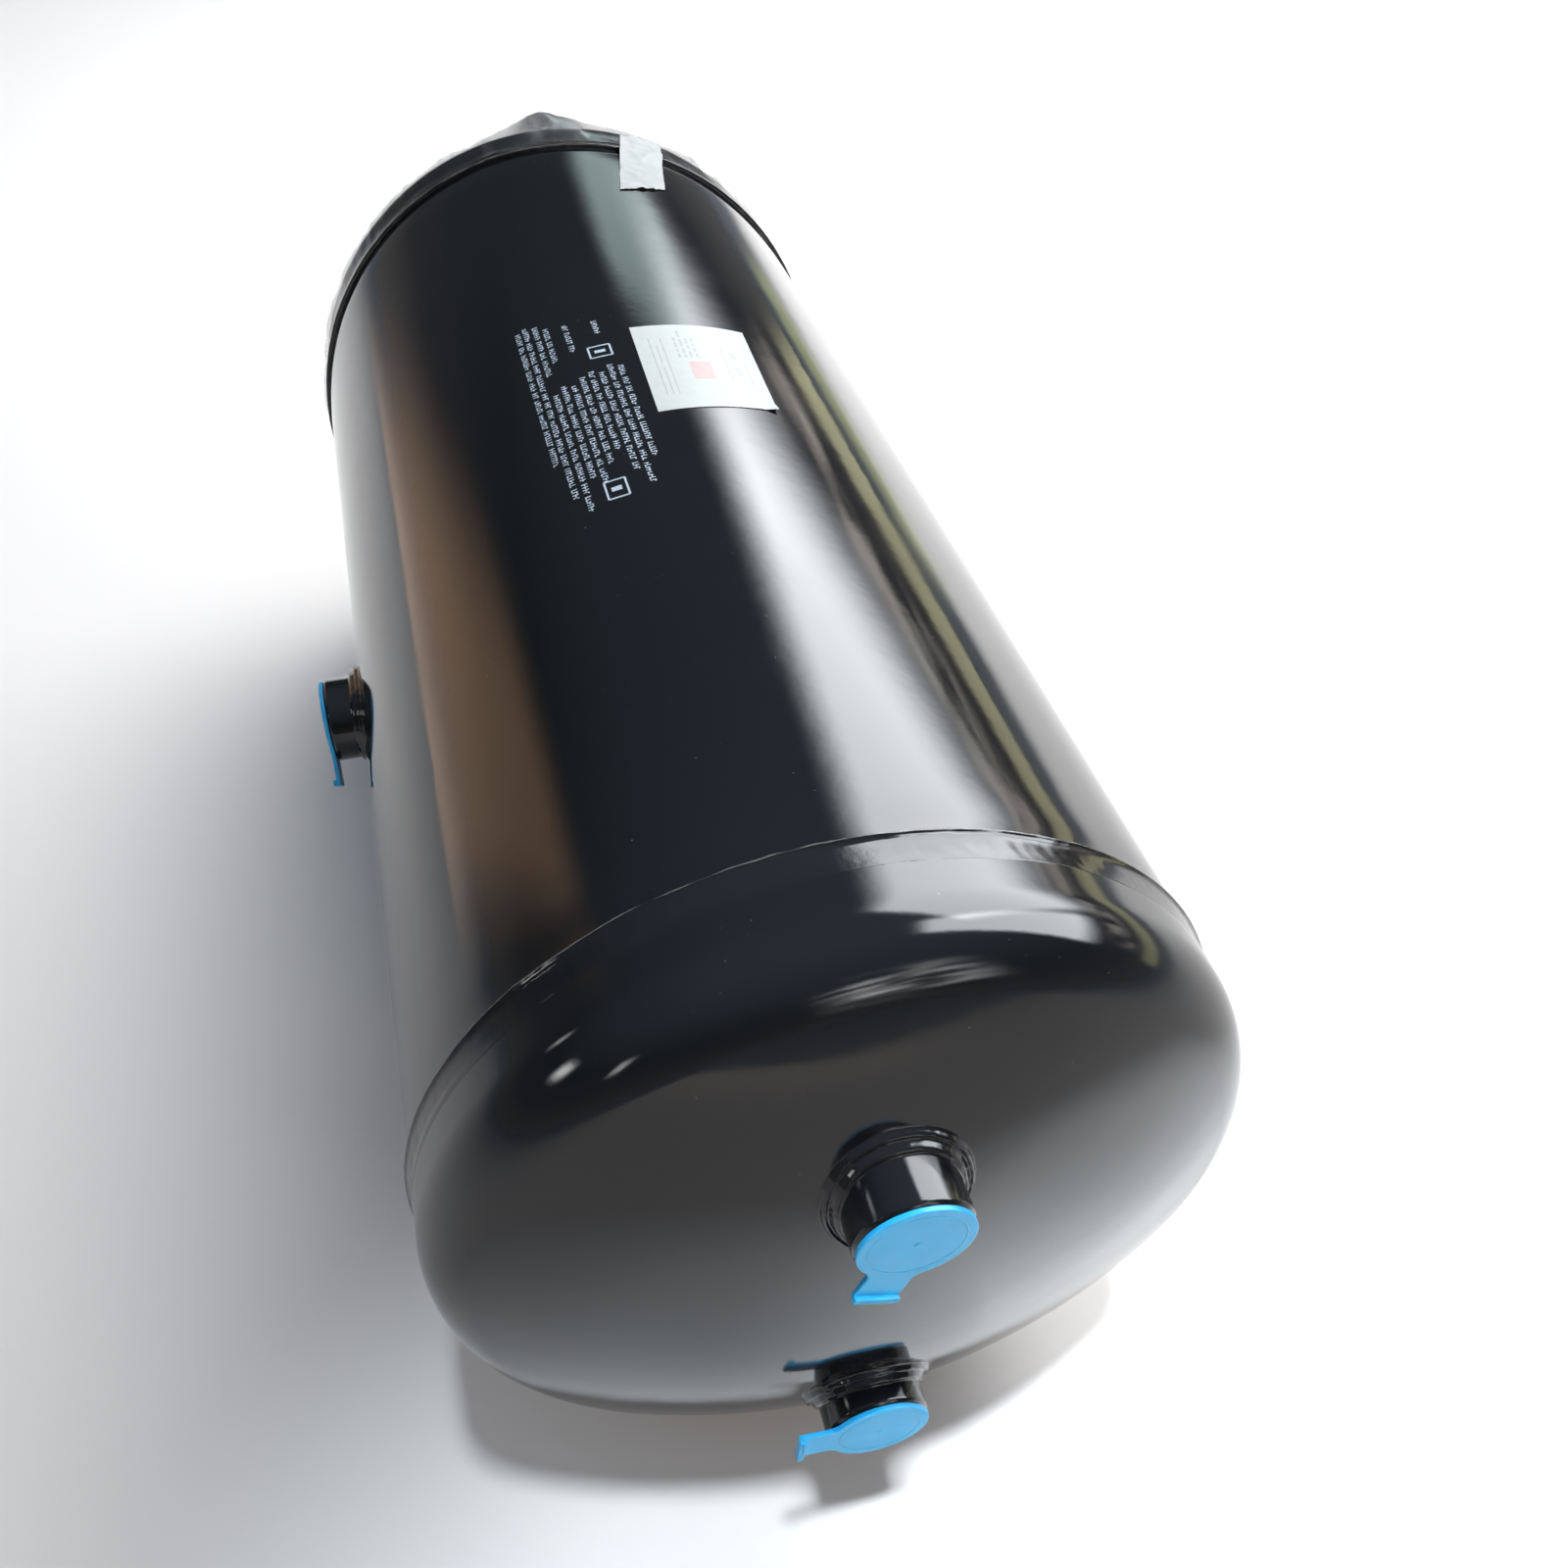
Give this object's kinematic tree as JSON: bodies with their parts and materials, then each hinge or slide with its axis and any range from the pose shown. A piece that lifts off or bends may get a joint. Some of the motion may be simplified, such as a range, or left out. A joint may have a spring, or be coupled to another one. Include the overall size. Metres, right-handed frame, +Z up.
{
  "type": "horizontal pressure tank",
  "caption": "Gloss-black welded steel compressed-air tank with dished ends, capped threaded ports and packing film.",
  "frame": {"origin": "centre of the vessel's axis, midway between the two girth welds", "axes": "+Y along the axis from the front head to the film-covered rear head, +Z up through the upper ports, the side port points to -X"},
  "size_m": [0.2636, 0.6023, 0.2529],
  "materials": {
    "black_paint": "gloss black stove paint over steel",
    "painted_weld": "gloss black paint over a rippled weld bead",
    "blue_cap": "sky-blue moulded polyethylene",
    "label_paper": "coated white paper",
    "packing_film": "smoky translucent stretch film",
    "white_tape": "white paper tape"
  },
  "bodies": {
    "root": {"shell": "black_paint", "shell_seam_weld": "painted_weld", "front_head": "black_paint", "rear_head": "black_paint", "front_girth_weld": "painted_weld", "rear_girth_weld": "painted_weld", "upper_front_boss": "black_paint", "lower_front_boss": "black_paint", "upper_rear_boss": "black_paint", "lower_rear_boss": "black_paint", "side_boss": "black_paint", "upper_front_boss_weld": "painted_weld", "lower_front_boss_weld": "painted_weld", "upper_rear_boss_weld": "painted_weld", "lower_rear_boss_weld": "painted_weld", "side_boss_weld": "painted_weld", "upper_front_cap": "blue_cap", "lower_front_cap": "blue_cap", "upper_rear_cap": "blue_cap", "lower_rear_cap": "blue_cap", "side_cap": "blue_cap", "label": "label_paper", "end_film": "packing_film", "film_tape": "white_tape"}
  },
  "joints": []
}
